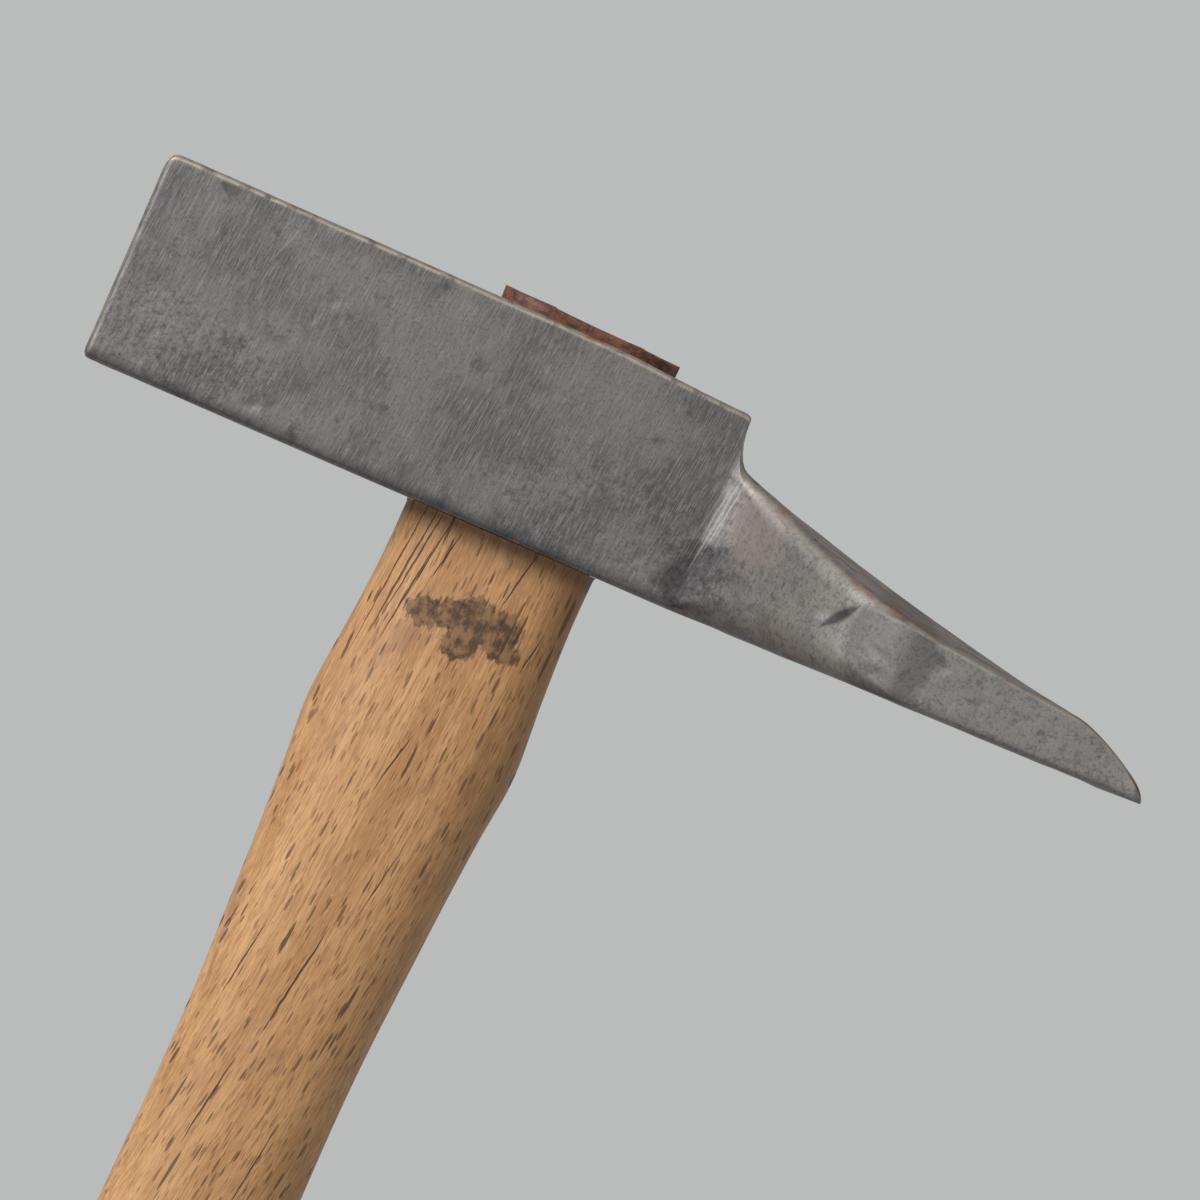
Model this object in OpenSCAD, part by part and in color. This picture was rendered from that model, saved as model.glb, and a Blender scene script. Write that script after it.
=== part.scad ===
/* [Head block] */
// From the butt of the handle to the underside of the head
reach = 262; // [220:1:300]
// Height of the block at the striking face
block_h = 26.4; // [23:0.1:30]
// Height of the top over the handle's axis, where wear begins to lower it
crest_h = 26; // [22.5:0.1:29.5]
// Height of the block at the step
step_h = 25; // [21.5:0.1:28]
// Thickness of the block across its cheeks
block_t = 25.4; // [20:0.2:30]
// From the handle's axis to the striking face
face_x = 54; // [40:0.1:65]
// From the handle's axis to the step
step_x = 21.7; // [19:0.1:26]
// Radius of the worn edges round the striking face
face_r = 0.9; // [0.5:0.1:2]
// Radius of its top edge, which is worn the most
face_top_r = 2; // [0.5:0.1:3]
// Radius of the worn long edges of the block
edge_r = 0.7; // [0.4:0.1:1.5]
// Radius of the worn edge at the top of the step
step_r = 1.1; // [0.5:0.1:2]

/* [Peen] */
// From the handle's axis to the working edge
tip_x = 79.7; // [70:0.5:95]
// Length of the working edge
blade_w = 76; // [50:1:100]
// From the handle's axis to the place where the flare reaches its full width
shoulder_x = 49; // [40:0.5:60]
// Height of the peen's top at the foot of the step
root_h = 18.6; // [14:0.1:19]
// Height that the top would have at the working edge without the rounding
blade_h = 6.2; // [4:0.1:9]
// How far the top sags below a straight line between the two
sag = 1; // [0:0.1:1.5]
// How far the underside has risen at the working edge
lift = 1; // [0:0.1:2]
// Length of the hollow corner under the step
fillet_l = 2.1; // [1:0.1:4]
// Height of the hollow corner under the step
fillet_h = 5; // [2:0.1:6]
// Length of the rounding at the working edge
nose_l = 10.5; // [4:0.5:12]
// Blunt thickness left at the working edge
blunt = 0.5; // [0.3:0.1:2]
// Roundness of the working edge: 1 is a flat bevel and 2 a quarter round
nose_power = 1.7; // [1.2:0.1:2]
// How much lower the top is along the blade's sides than along its middle, at the shoulder
crown = 2.6; // [0:0.1:3.5]
// The same near the working edge
crown_tip = 0.4; // [0:0.1:1]
// Radius of the flank's lower corner where the flare is steepest
flank_low_r = 5; // [1:0.5:6]
// Radius of the flank's upper corner where the flare is steepest
flank_high_r = 3.5; // [1:0.5:5]
// Radius of the blade's two outer corners, seen from above
blade_corner_r = 1.2; // [0.5:0.1:4]

/* [Eye] */
// Length of the eye along the head, at its waist
eye_l = 22.4; // [18:0.2:26]
// Width of the eye across the head, at its waist
eye_w = 13; // [10:0.2:16]
// How much the eye has opened at the top of the head, on each side
eye_flare_top = 0.5; // [0.2:0.1:1]
// How much the eye has opened at the underside, on each side
eye_flare_low = 0.3; // [0.1:0.1:0.8]

/* [Handle] */
// Width of the butt, along the head
butt_w = 27; // [24:0.5:34]
// Width of the grip swell
grip_w = 30.5; // [26:0.5:36]
// Width of the waist
waist_w = 22.1; // [19:0.1:26]
// Width of the swell under the head
swell_w = 26.8; // [24:0.1:32]
// Width of the handle at its shoulder
neck_w = 24.5; // [23.6:0.1:28]
// Thickness of the grip swell, across the head
grip_t = 24.5; // [20:0.5:30]
// Thickness of the waist
waist_t = 18; // [15:0.5:22]
// Thickness of the swell under the head
swell_t = 19.5; // [17:0.5:24]
// Thickness of the handle at its shoulder
neck_t = 17.5; // [16:0.5:24]
// How far the middle of the handle bows towards the striking face
bow = 1.9; // [0:0.1:4]
// Radius of the rim of the butt
rim_r = 2.4; // [1:0.1:5]
// How far the tenon stands out of the top of the head
tenon_proud = 1.5; // [0.5:0.1:3]
// Fall of the tenon's end along the head, towards the peen
tenon_slant = 0.035; // [0:0.005:0.06]

/* [Wedges] */
// Depth of the wooden wedge from the end of the tenon
wood_depth = 19; // [14:0.5:22]
// Thickness of the wooden wedge at the end of the tenon
wood_t = 3.2; // [2:0.1:4.5]
// Width of the saw cut, and of the wooden wedge at its point
saw_t = 0.9; // [0.6:0.1:1.4]
// Depth of the saw cut from the end of the tenon
saw_depth = 21.5; // [20:0.5:24]
// Depth of an iron wedge
iron_depth = 13; // [8:0.5:16]
// Thickness of an iron wedge at its head
iron_t = 2; // [1.2:0.1:3]
// Thickness of an iron wedge at its point
iron_tip_t = 0.5; // [0.4:0.1:1]
// Length of an iron wedge across the tenon
iron_w = 9.6; // [6:0.2:10.5]
// From the handle's axis to each iron wedge
iron_x = 5.8; // [4:0.1:7]

/* [Hidden] */
// Gap all round the tenon in the eye
eye_gap = 0.05;
// Steps on each rounded corner of a section of the head
corner_steps = 5;
// Points along the top of a section of the head
top_points = 9;
// Points round a section of the handle
handle_points = 40;
// Stations along each stretch of the peen
edge_stations = 4;
fillet_stations = 6;
flare_stations = 18;
blade_stations = 8;
nose_stations = 9;
// Stations along each span of the handle
handle_stations = 4;
eye_waist_z = crest_h * 0.45;
eye_end_x = (eye_l - eye_w) / 2;
tenon_mid = crest_h + tenon_proud;
foot_x = step_x + fillet_l;
nose_x = tip_x - nose_l;
// Extra length that carries a cutter clear of a face
over = 1;

function unit(t) = max(0, min(1, t));
function ease(t) = let (u = unit(t)) u * u * (3 - 2 * u);
function mix(a, b, t) = a + (b - a) * t;
// Depth that a rounding of radius r has cut away at a distance d from the face it leads to
function round_in(r, d) = d >= r ? 0 : r - sqrt(r * r - pow(r - max(d, 0), 2));

// Skin over a row of rings that all have the same number of points
module skin(rings) {
  n = len(rings[0]);
  last = len(rings) - 1;
  polyhedron(
    points = [for (ring = rings) for (p = ring) p],
    faces = concat(
      [[for (i = [n - 1:-1:0]) i]],
      [for (k = [0:last - 1]) for (i = [0:n - 1])
        let (j = (i + 1) % n) [k * n + i, k * n + j, (k + 1) * n + j]],
      [for (k = [0:last - 1]) for (i = [0:n - 1])
        let (j = (i + 1) % n) [k * n + i, (k + 1) * n + j, (k + 1) * n + i]],
      [[for (i = [0:n - 1]) last * n + i]]
    )
  );
}

// How far along the flare a place is, from 0 at the step to 1 at the shoulder
function flare_at(x) = unit((x - step_x) / (shoulder_x - step_x));
function hump(x) = sin(180 * pow(flare_at(x), 0.8));

function block_top(x) = x < 0
  ? mix(block_h, crest_h, unit((x + face_x) / face_x))
  : mix(crest_h, step_h, ease(x / step_x));
function peen_line(x) =
  let (t = (x - foot_x) / (tip_x - foot_x))
  mix(root_h, blade_h, t) - 4 * sag * t * (1 - t);
function fillet(x) =
  let (t = unit((x - step_x) / fillet_l))
  fillet_h * (1 - sqrt(1 - pow(1 - t, 2)));
function nose(x) =
  let (t = unit((x - nose_x) / nose_l))
  pow(1 - pow(t, nose_power), 1 / nose_power);
function underside(x) = lift * unit((x - step_x) / (tip_x - step_x));
function peen_top(x) =
  let (floor_z = underside(x) + blunt)
  floor_z + (peen_line(x) + fillet(x) - floor_z) * nose(x);

function top_z(x) = x <= step_x
  ? block_top(x) - round_in(face_top_r, x + face_x) - round_in(step_r, step_x - x) * 0.6
  : peen_top(x);
function low_z(x) = underside(x) + round_in(face_r, x + face_x);
function half_w(x) = mix(block_t, blade_w, ease(pow(flare_at(x), 0.85))) / 2
  - round_in(face_r, x + face_x)
  - round_in(blade_corner_r, tip_x - x);
function crown_at(x) =
  mix(crown, crown_tip, unit((x - shoulder_x) / (nose_x - shoulder_x))) * ease(flare_at(x) * 1.25);
function corner_limit(x) = (top_z(x) - low_z(x)) * 0.42;
function low_r(x) = min(mix(edge_r, flank_low_r, hump(x)), corner_limit(x));
function high_r(x) = min(mix(edge_r, flank_high_r, hump(x)), corner_limit(x));

// One section of the head: a rounded oblong with a crowned top, from its lower right corner upward
function corner(y, z, r, from) =
  [for (i = [0:corner_steps]) let (a = from + 90 * i / corner_steps) [y + r * cos(a), z + r * sin(a)]];
function section(x) =
  let (
    w = half_w(x),
    lo = low_z(x),
    hi = top_z(x),
    rl = low_r(x),
    rh = high_r(x),
    flat = w - rh,
    outline = concat(
      corner(w - rl, lo + rl, rl, -90),
      corner(w - rh, hi - rh, rh, 0),
      [for (i = [1:top_points]) [flat * (1 - 2 * i / (top_points + 1)), hi]],
      corner(rh - w, hi - rh, rh, 90),
      corner(rl - w, lo + rl, rl, 180)
    ),
    drop = min(crown_at(x), (hi - lo) * 0.5)
  )
  [for (p = outline) [x, p[0], p[1] - drop * pow(p[0] / w, 2) * (p[1] - lo) / (hi - lo)]];

head_stations = concat(
  [for (i = [0:edge_stations]) -face_x + face_r * (1 - cos(90 * i / edge_stations))],
  [-face_x + face_top_r],
  [-face_x / 2],
  [for (i = [0:edge_stations]) step_x * i / (edge_stations + 1)],
  [for (i = [0:edge_stations]) step_x - step_r + step_r * sin(90 * i / edge_stations)],
  [for (i = [0:fillet_stations - 1]) step_x + 0.02 + fillet_l * (1 - cos(90 * i / fillet_stations))],
  [for (i = [0:flare_stations - 1]) mix(foot_x, shoulder_x, i / flare_stations)],
  [for (i = [0:blade_stations - 1]) mix(shoulder_x, nose_x, i / blade_stations)],
  [for (i = [0:nose_stations]) nose_x + nose_l * sin(90 * i / nose_stations)]
);

// A slot with round ends whose sides lean out from r0 at the bottom to r1 at the top
module leaning_slot(h, r0, r1) {
  for (side = [-1, 1])
    translate([side * eye_end_x, 0, 0])
      cylinder(h = h, r1 = r0, r2 = r1, $fn = 64);
  rotate([90, 0, 90])
    translate([0, 0, -eye_end_x])
      linear_extrude(2 * eye_end_x)
        polygon([[-r0, 0], [r0, 0], [r1, h], [-r1, h]]);
}

// The eye: narrowest at its waist, and open a little towards both faces of the head
module eye() {
  waist_r = eye_w / 2;
  high_h = block_h - eye_waist_z + over;
  low_h = eye_waist_z + over;
  high_slope = eye_flare_top / (crest_h - eye_waist_z);
  low_slope = eye_flare_low / eye_waist_z;
  translate([0, 0, eye_waist_z])
    leaning_slot(high_h, waist_r, waist_r + high_slope * high_h);
  translate([0, 0, -over])
    leaning_slot(low_h, waist_r + low_slope * low_h, waist_r);
}

// The forged head
module head() {
  color("#706d6c")
    translate([0, 0, reach])
      difference() {
        skin([for (x = head_stations) section(x)]);
        eye();
      }
}

// The handle's shape: height, width, thickness and how square the section is
handle_form = [
  [0, butt_w, grip_t - 1.5, 2.2],
  [20, mix(butt_w, grip_w, 0.6), grip_t - 0.4, 2.2],
  [48, grip_w, grip_t, 2.2],
  [90, mix(waist_w, grip_w, 0.78), mix(waist_t, grip_t, 0.78), 2.2],
  [140, mix(waist_w, grip_w, 0.22), mix(waist_t, grip_t, 0.22), 2.2],
  [188, waist_w, waist_t, 2.3],
  [212, mix(waist_w, swell_w, 0.33), mix(waist_t, swell_t, 0.4), 2.5],
  [reach - 35, mix(waist_w, swell_w, 0.7), mix(waist_t, swell_t, 0.8), 2.7],
  [reach - 26, swell_w, swell_t, 2.8],
  [reach - 16.5, mix(neck_w, swell_w, 0.42), mix(neck_t, swell_t, 0.6), 3],
  [reach - 7.5, neck_w, neck_t, 3.2],
  [reach, neck_w, neck_t, 3.3]
];
// Smooth curve through the rows of a table, at t between row k and the next
function row(table, k) = table[max(0, min(len(table) - 1, k))];
function through(a, b, c, d, t) = b + 0.5 * t * (c - a + t * (2 * a - 5 * b + 4 * c - d
  + t * (3 * (b - c) + d - a)));
function form_at(k, t) = through(
  row(handle_form, k - 1), row(handle_form, k), row(handle_form, k + 1), row(handle_form, k + 2), t);
function bulge(v, n) = sign(v) * pow(abs(v), 2 / n);
function handle_angle(i) = 360 * (i + 0.5) / handle_points;
function bow_at(z) = -bow * sin(180 * z / reach);
function handle_ring(f) =
  let (inset = round_in(rim_r, f[0]))
  [for (i = [0:handle_points - 1]) let (a = handle_angle(i))
    [
      bow_at(f[0]) + (f[1] / 2 - inset) * bulge(cos(a), f[3]),
      (f[2] / 2 - inset) * bulge(sin(a), f[3]),
      f[0]
    ]];
function tenon_r(z) = eye_w / 2 - eye_gap + (z < eye_waist_z
  ? eye_flare_low * (1 - z / eye_waist_z)
  : eye_flare_top * (z - eye_waist_z) / (crest_h - eye_waist_z));
function tenon_ring(z, inset = 0, slant = 0) =
  let (r = tenon_r(z) - inset)
  [for (i = [0:handle_points - 1])
    let (a = handle_angle(i), x = sign(cos(a)) * eye_end_x + r * cos(a))
    [x, r * sin(a), reach + z - slant * x]];
tenon_edge = 0.4;
handle_rings = concat(
  [for (i = [0:edge_stations - 1]) handle_ring(
    let (z = rim_r * (1 - cos(90 * i / edge_stations))) [z, butt_w, grip_t - 1.5, 2.2])],
  [for (k = [0:len(handle_form) - 2]) for (i = [(k == 0 ? 2 : 0):handle_stations - 1])
    handle_ring(form_at(k, i / handle_stations))],
  [handle_ring(handle_form[len(handle_form) - 1])],
  [tenon_ring(0), tenon_ring(eye_waist_z)],
  [tenon_ring(tenon_mid - tenon_edge, 0, tenon_slant), tenon_ring(tenon_mid, tenon_edge, tenon_slant)]
);

// Height of the tenon's slanting end at x
function tenon_end(x) = tenon_mid - tenon_slant * x;

// A taper seen from the side: its point depth below top, and straight sides that go on above it
module taper(top, depth, wide_t, thin_t, above = 0) {
  far_t = wide_t + (wide_t - thin_t) * above / depth;
  polygon([
    [-far_t / 2, top + above],
    [-thin_t / 2, top - depth],
    [thin_t / 2, top - depth],
    [far_t / 2, top + above]
  ]);
}

// Space of the wooden wedge, through the whole length of the tenon
module wood_space(length) {
  rotate([90, 0, 90])
    translate([0, 0, -length / 2])
      linear_extrude(length)
        taper(tenon_mid, wood_depth, wood_t, saw_t, over);
}

// Space of the iron wedge at x
module iron_space(x, above = 0) {
  translate([x, iron_w / 2, 0])
    rotate([90, 0, 0])
      linear_extrude(iron_w)
        taper(tenon_end(x), iron_depth, iron_t, iron_tip_t, above);
}

// The handle, with the saw cut and the places that the wedges have opened
module handle() {
  color("#b78a55")
    difference() {
      skin(handle_rings);
      translate([0, 0, reach]) {
        wood_space(eye_l + 4);
        translate([-eye_l, -saw_t / 2, tenon_mid - saw_depth])
          cube([2 * eye_l, saw_t, saw_depth]);
        iron_space(-iron_x, over);
        iron_space(iron_x, over);
      }
    }
}

// The wooden wedge, trimmed flush with the tenon, with a notch for each iron wedge
module wooden_wedge() {
  low = tenon_mid - wood_depth;
  trim = 0.25;
  low_x = eye_end_x + tenon_r(low) - trim;
  waist_x = eye_end_x + tenon_r(eye_waist_z) - trim;
  high_x = eye_end_x + tenon_r(tenon_mid) - trim;
  color("#8a5f3c")
    translate([0, 0, reach])
      difference() {
        intersection() {
          wood_space(eye_l + 4);
          translate([0, wood_t, 0])
            rotate([90, 0, 0])
              linear_extrude(2 * wood_t)
                polygon([
                  [-low_x, low], [low_x, low], [waist_x, eye_waist_z], [high_x, tenon_end(high_x)],
                  [-high_x, tenon_end(-high_x)], [-waist_x, eye_waist_z]
                ]);
        }
        iron_space(-iron_x, over);
        iron_space(iron_x, over);
      }
}

// One iron wedge, driven across the end of the tenon
module iron_wedge(x) {
  color("#4d3a33")
    translate([0, 0, reach])
      iron_space(x);
}

module iron_wedge_poll() {
  iron_wedge(-iron_x);
}

module iron_wedge_peen() {
  iron_wedge(iron_x);
}

head();
handle();
wooden_wedge();
iron_wedge_poll();
iron_wedge_peen();
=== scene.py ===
import math

import bmesh
import bpy
import numpy as np
from mathutils import Matrix, Vector


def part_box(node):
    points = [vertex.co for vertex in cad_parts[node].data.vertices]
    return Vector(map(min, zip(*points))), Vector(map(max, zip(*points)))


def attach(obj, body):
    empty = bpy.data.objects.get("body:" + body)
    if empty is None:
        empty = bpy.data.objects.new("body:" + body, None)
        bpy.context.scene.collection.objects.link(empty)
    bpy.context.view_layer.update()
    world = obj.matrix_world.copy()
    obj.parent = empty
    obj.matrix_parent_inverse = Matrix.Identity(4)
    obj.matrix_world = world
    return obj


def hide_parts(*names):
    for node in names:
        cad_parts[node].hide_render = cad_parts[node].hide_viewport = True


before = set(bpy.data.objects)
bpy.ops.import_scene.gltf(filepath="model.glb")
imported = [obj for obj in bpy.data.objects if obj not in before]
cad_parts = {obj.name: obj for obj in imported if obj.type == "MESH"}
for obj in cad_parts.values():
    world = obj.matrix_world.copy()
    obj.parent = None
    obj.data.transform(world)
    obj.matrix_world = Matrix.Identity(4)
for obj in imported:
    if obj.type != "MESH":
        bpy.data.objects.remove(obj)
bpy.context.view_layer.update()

# A veneer hammer. Lengths are in millimetres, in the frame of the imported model: x runs from the
# striking face to the working edge, z runs up from the butt, and the camera looks along +y.
MM = 0.001
head_low, head_high = (np.array(corner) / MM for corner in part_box("head"))
REACH = head_low[2]
FACE_X = -head_low[0]
TIP_X = head_high[0]
BLADE_W = 2 * head_high[1]

# Block of the head. Heights on the head are above its underside.
BLOCK_T = 25.4
BLOCK_H = 26.4
CREST_H = 26.0
STEP_H = 25.0
STEP_X = 21.7
FACE_R = 0.9
FACE_TOP_R = 2.0
EDGE_R = 0.7
STEP_R = 1.1

# Peen, from the foot of the step to the working edge
FILLET_L = 2.1
FILLET_H = 5.0
FOOT_X = STEP_X + FILLET_L
SHOULDER_X = 49.0
ROOT_H = 18.6
BLADE_H = 6.2
SAG = 1.0
LIFT = 1.0
CROWN = 2.6
CROWN_TIP = 0.4
FLANK_LOW_R = 5.0
FLANK_HIGH_R = 3.5
NOSE_L = 10.5
NOSE_X = TIP_X - NOSE_L
NOSE_POWER = 1.7
BLUNT = 0.5
BLADE_CORNER_R = 1.2

# Eye: a slot with round ends, narrowest at its waist and flared to both faces
EYE_L = 22.4
EYE_W = 13.0
EYE_END_X = (EYE_L - EYE_W) / 2
EYE_WAIST_Z = CREST_H * 0.45
FLARE_TOP = 0.5
FLARE_LOW = 0.3

# Tenon in the eye, the saw cut along it, and the wedges driven into it
EYE_GAP = 0.05
TENON_MID = CREST_H + 1.5
TENON_SLANT = 0.035
SAW_T = 0.9
SAW_DEPTH = 21.5
WOOD_T = 3.2
WOOD_DEPTH = 19.0
IRON_T = 2.0
IRON_TIP_T = 0.5
IRON_W = 9.6
IRON_DEPTH = 13.0
IRON_X = 5.8

# Handle: width along the head and thickness across it, from the butt up
BUTT_W, BUTT_T = 27.0, 23.0
GRIP_W, GRIP_T = 30.5, 24.5
WAIST_W, WAIST_T = 22.1, 18.0
SWELL_W, SWELL_T = 26.8, 19.5
NECK_W, NECK_T = 24.5, 17.5
BOW = 1.9
RIM_R = 2.4

# Camera of the photograph: place, roll and the width of its frame at the handle's axis
CAMERA_AT = (13.72, -900.0, 259.88)
CAMERA_ROLL = 23.43
FRAME_W = 143.16
SENSOR_W = 36.0

# Key lamp: where it stands as seen from the point that it looks at
KEY_FROM = (-0.8, -0.75, 0.5)
KEY_AIM = (10.0, 0.0, REACH - 30.0)
KEY_DISTANCE = 1200.0
KEY_SIZE = 700.0
KEY_WATTS = 16.0

# Floor: a round sheet
FLOOR_R = 620.0
FLOOR_T = 4.0

# Angle in degrees past which an edge of a mesh is shaded sharp
SHARP_ANGLE = 50


def unit(t):
    return np.clip(t, 0, 1)


def ease(t):
    u = unit(t)
    return u * u * (3 - 2 * u)


def mix(a, b, t):
    return a + (b - a) * t


def round_in(r, distance):
    """Depth that a rounding of radius r has cut away at a distance from the face it leads to."""
    d = np.clip(distance, 0, r)
    return r - np.sqrt(r * r - (r - d) ** 2)


def lattice_noise(points, cell, seed):
    """Smooth noise from -1 to 1, from random values on a lattice of that cell size in mm."""
    size = 32
    table = np.random.default_rng(seed).uniform(-1, 1, (size, size, size))
    place = points / np.array(cell)
    base = np.floor(place).astype(int)
    part = ease(place - base)
    total = np.zeros(len(points))
    for corner in np.ndindex(2, 2, 2):
        weight = np.prod(np.where(corner, part, 1 - part), axis=1)
        i, j, k = ((base + corner) % size).T
        total += weight * table[i, j, k]
    return total


def bowl(u, v, length, width, turn, depth):
    """A smooth oval hollow at the origin of u and v, turned by an angle in degrees."""
    a = math.radians(turn)
    along = (u * math.cos(a) + v * math.sin(a)) / length
    across = (v * math.cos(a) - u * math.sin(a)) / width
    return depth * unit(1 - along ** 2 - across ** 2) ** 1.5


# Meshes

def grid_quads(index, closed=False):
    """Quads over a grid of vertex numbers. A closed grid's last column meets its first."""
    if closed:
        index = np.hstack([index, index[:, :1]])
    corners = (index[:-1, :-1], index[:-1, 1:], index[1:, 1:], index[1:, :-1])
    return np.stack(corners, axis=-1).reshape(-1, 4)


def new_piece(name, points, faces):
    """A mesh object from points in mm, with its faces turned outward."""
    mesh = bpy.data.meshes.new(name)
    mesh.from_pydata((points * MM).tolist(), [], [list(map(int, face)) for face in faces])
    work = bmesh.new()
    work.from_mesh(mesh)
    bmesh.ops.recalc_face_normals(work, faces=work.faces)
    work.to_mesh(mesh)
    work.free()
    piece = bpy.data.objects.new(name, mesh)
    bpy.context.scene.collection.objects.link(piece)
    return piece


def closed_loft(name, rings):
    """A mesh object through rings of equal size, closed by one face at each end."""
    levels, count = rings.shape[:2]
    index = np.arange(levels * count).reshape(levels, count)
    faces = [*grid_quads(index, closed=True), index[0][::-1], index[-1]]
    return new_piece(name, rings.reshape(-1, 3), faces)


def capped_tube(rings, low_cap, high_cap):
    """Points and faces of a tube through rings of equal size, closed by two caps of many faces.

    A cap is a function of a ring, the number of the ring's first vertex and the number of the
    cap's own first vertex. It gives the cap's new points and its faces.
    """
    levels, count = rings.shape[:2]
    index = np.arange(levels * count).reshape(levels, count)
    low_points, low_faces = low_cap(rings[0], 0, index.size)
    high_points, high_faces = high_cap(rings[-1], index[-1, 0], index.size + len(low_points))
    points = np.concatenate([rings.reshape(-1, 3), low_points, high_points])
    return points, [*grid_quads(index, closed=True), *low_faces, *high_faces]


def wear_down(piece, depth_at):
    """Moves each vertex in along its normal by the depth in mm that depth_at gives."""
    mesh = piece.data
    points = np.empty(len(mesh.vertices) * 3)
    mesh.vertices.foreach_get("co", points)
    points = points.reshape(-1, 3) / MM
    normals = np.empty(points.size)
    mesh.vertex_normals.foreach_get("vector", normals)
    normals = normals.reshape(-1, 3)
    moved = points - normals * depth_at(points, normals)[:, None]
    mesh.vertices.foreach_set("co", (moved * MM).ravel())
    mesh.update()


def cut(piece, cutters):
    """Takes the cutters away from the piece, and deletes them."""
    for cutter in cutters:
        boolean = piece.modifiers.new("cut", "BOOLEAN")
        boolean.operation = "DIFFERENCE"
        boolean.solver = "EXACT"
        boolean.object = cutter
    bpy.context.view_layer.update()
    shaped = piece.evaluated_get(bpy.context.evaluated_depsgraph_get())
    mesh = bpy.data.meshes.new_from_object(shaped)
    piece.modifiers.clear()
    piece.data = mesh
    for cutter in cutters:
        bpy.data.objects.remove(cutter)


def set_attribute(piece, name, values):
    layer = piece.data.attributes.new(name, "FLOAT", "POINT")
    layer.data.foreach_set("value", np.asarray(values, np.float32))


def finish_mesh(piece):
    piece.data.shade_smooth()
    piece.data.set_sharp_from_angle(angle=math.radians(SHARP_ANGLE))


# Head: a loft of sections along x

# How the sections change on the way. Below a power of 1, a change comes early.
FLARE_POWER = 0.85
ROUND_POWER = 0.8
ROUND_LIMIT = 0.42
CROWN_LEAD = 1.25
CROWN_LIMIT = 0.5
STEP_ROUND = 0.6

# Points on one section: on each side, on the top and on the underside, and in each corner
SIDE_POINTS, TOP_POINTS, CORNER_POINTS = 56, 72, 9
SIDE_STEPS = SIDE_POINTS + CORNER_POINTS
TOP_STEPS = TOP_POINTS + CORNER_POINTS

# Numbers of sections
FACE_RINGS = 5
BLOCK_RINGS = 150
ROUND_RINGS = 7
PEEN_RINGS = 92
NOSE_RINGS = 24


def flare_at(x):
    return unit((x - STEP_X) / (SHOULDER_X - STEP_X))


def underside(x):
    return LIFT * unit((x - STEP_X) / (TIP_X - STEP_X))


def peen_top(x):
    """Sagging top line of the peen, with a hollow corner at its foot and a rounded nose."""
    t = (x - FOOT_X) / (TIP_X - FOOT_X)
    line = mix(ROOT_H, BLADE_H, t) - 4 * SAG * t * (1 - t)
    corner = FILLET_H * (1 - np.sqrt(1 - (1 - unit((x - STEP_X) / FILLET_L)) ** 2))
    nose = (1 - unit((x - NOSE_X) / NOSE_L) ** NOSE_POWER) ** (1 / NOSE_POWER)
    floor = underside(x) + BLUNT
    return floor + (line + corner - floor) * nose


def top_z(x):
    block = np.where(
        x < 0,
        mix(BLOCK_H, CREST_H, unit((x + FACE_X) / FACE_X)),
        mix(CREST_H, STEP_H, ease(x / STEP_X)),
    )
    block = block - round_in(FACE_TOP_R, x + FACE_X) - round_in(STEP_R, STEP_X - x) * STEP_ROUND
    return np.where(x <= STEP_X, block, peen_top(x))


def low_z(x):
    return underside(x) + round_in(FACE_R, x + FACE_X)


def half_w(x):
    flared = mix(BLOCK_T, BLADE_W, ease(flare_at(x) ** FLARE_POWER)) / 2
    return flared - round_in(FACE_R, x + FACE_X) - round_in(BLADE_CORNER_R, TIP_X - x)


def rounded_section(w, low, high, low_r, high_r):
    """Points (y, z) round a rectangle with round corners, from its lower corner at +Y up and over."""
    corners = (
        (w - low_r, low + low_r, low_r, -90),
        (w - high_r, high - high_r, high_r, 0),
        (high_r - w, high - high_r, high_r, 90),
        (low_r - w, low + low_r, low_r, 180),
    )
    arcs = []
    for y, z, r, start in corners:
        a = np.radians(np.linspace(start, start + 90, CORNER_POINTS))
        arcs.append(np.stack([y + r * np.cos(a), z + r * np.sin(a)], axis=1))
    ring = []
    for k, arc in enumerate(arcs):
        count = SIDE_POINTS if k % 2 == 0 else TOP_POINTS
        t = np.arange(1, count + 1)[:, None] / (count + 1)
        ring += [arc, mix(arc[-1], arcs[(k + 1) % 4][0], t)]
    return np.roll(np.concatenate(ring), -(CORNER_POINTS // 2), axis=0)


def head_section(x):
    """Points round the head at x, from the middle of its lower corner at +Y, up and over."""
    w, low, high = half_w(x), low_z(x), top_z(x)
    flare = flare_at(x)
    hump = math.sin(math.pi * flare ** ROUND_POWER)
    limit = (high - low) * ROUND_LIMIT
    low_r = min(mix(EDGE_R, FLANK_LOW_R, hump), limit)
    high_r = min(mix(EDGE_R, FLANK_HIGH_R, hump), limit)
    y, z = rounded_section(w, low, high, low_r, high_r).T
    crown = mix(CROWN, CROWN_TIP, unit((x - SHOULDER_X) / (NOSE_X - SHOULDER_X)))
    crown = min(crown * ease(flare * CROWN_LEAD), (high - low) * CROWN_LIMIT)
    z = z - crown * (y / w) ** 2 * (z - low) / (high - low)
    return np.stack([np.full_like(y, x), y, z + REACH], axis=1)


def head_stations():
    """Places along the head, close together where it curves."""
    quarter = np.linspace(0, math.pi / 2, ROUND_RINGS)
    return np.unique(np.concatenate([
        -FACE_X + FACE_R * (1 - np.cos(quarter)),
        np.linspace(-FACE_X + FACE_R, -FACE_X + FACE_TOP_R, FACE_RINGS),
        np.linspace(-FACE_X + FACE_TOP_R, STEP_X - STEP_R, BLOCK_RINGS),
        STEP_X - STEP_R + STEP_R * np.sin(quarter),
        STEP_X + 0.02 + FILLET_L * (1 - np.cos(quarter)),
        np.linspace(FOOT_X, NOSE_X, PEEN_RINGS),
        NOSE_X + NOSE_L * np.sin(np.linspace(0, math.pi / 2, NOSE_RINGS)),
    ]).round(4))


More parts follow.
